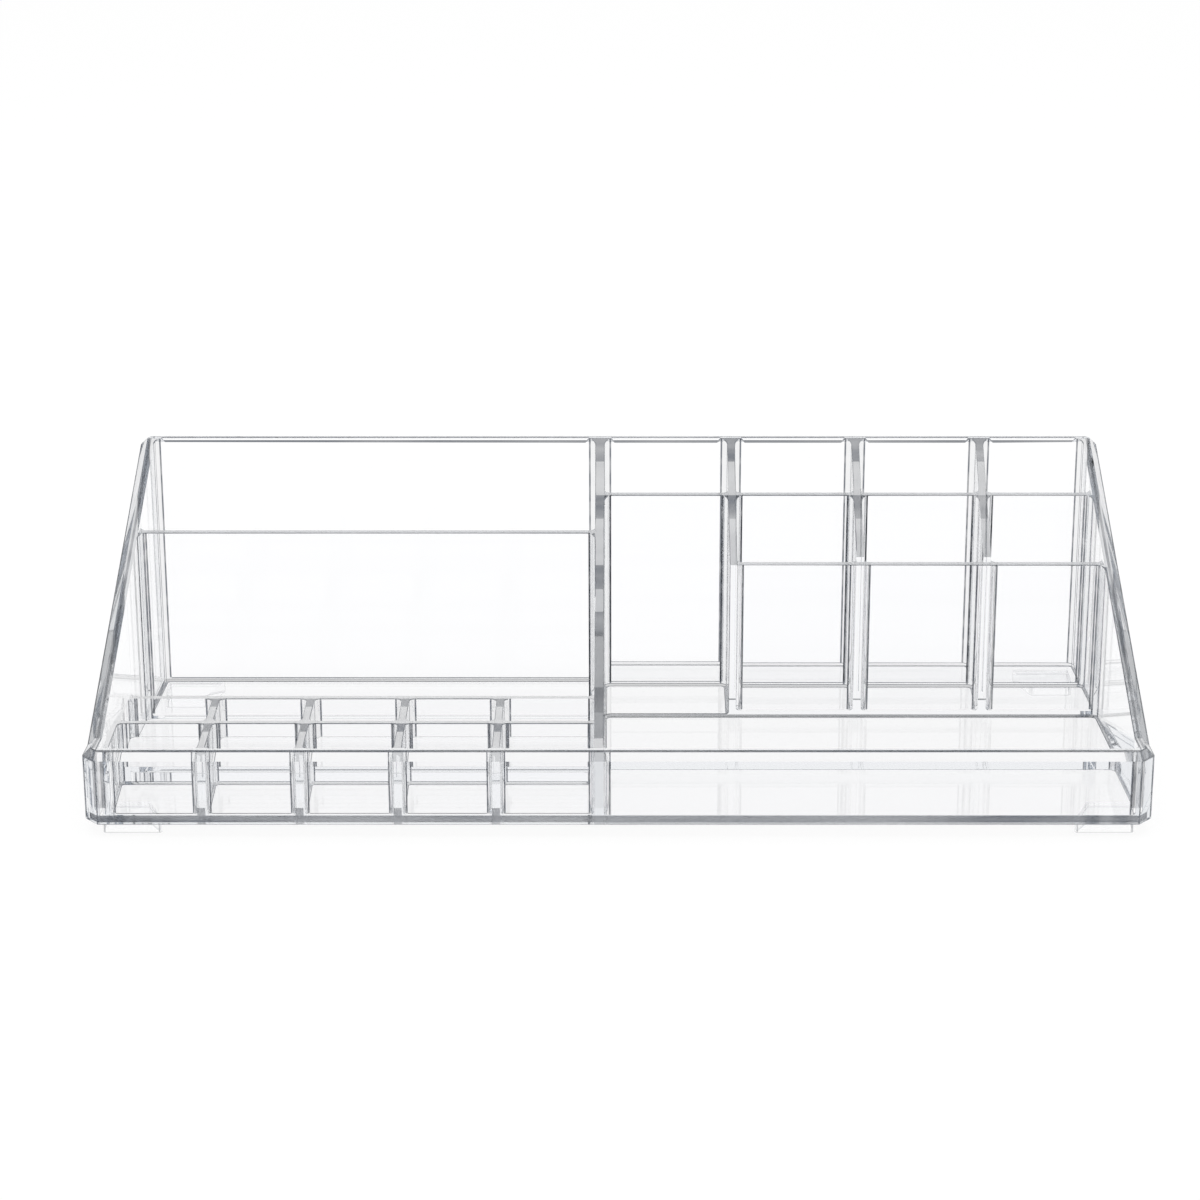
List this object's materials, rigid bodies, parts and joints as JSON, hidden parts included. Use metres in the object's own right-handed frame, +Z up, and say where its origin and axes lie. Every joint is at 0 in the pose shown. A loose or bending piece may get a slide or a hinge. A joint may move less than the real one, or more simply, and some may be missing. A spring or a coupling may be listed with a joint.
{
  "type": "vanity organizer",
  "caption": "Clear plastic vanity organizer with a low front, a high back, small cells and long pockets on one side and brush compartments behind an open tray on the other.",
  "frame": {"origin": "centre of the overall box on the plane the feet stand on", "axes": "+X to the right along the front, +Y from the low front to the high back, +Z up"},
  "size_m": [0.3992, 0.131, 0.1118],
  "materials": {
    "body": "clear, polished",
    "feet": "clear, polished"
  },
  "bodies": {
    "root": {"base_plate": "body", "front_wall": "body", "back_wall": "body", "left_side_wall": "body", "right_side_wall": "body", "centre_partition": "body", "long_pocket_wall": "body", "rear_cell_wall": "body", "middle_cell_wall": "body", "cell_divider_1": "body", "cell_divider_2": "body", "cell_divider_3": "body", "cell_divider_4": "body", "cell_liner": "body", "rear_cell_floor": "body", "rear_compartment_wall": "body", "front_compartment_wall": "body", "compartment_divider_1": "body", "compartment_divider_2": "body", "compartment_divider_3": "body", "compartment_floor": "body", "tray_step_floor": "body", "foot_front_left": "feet", "foot_front_right": "feet", "foot_back_left": "feet", "foot_back_right": "feet"}
  },
  "joints": []
}
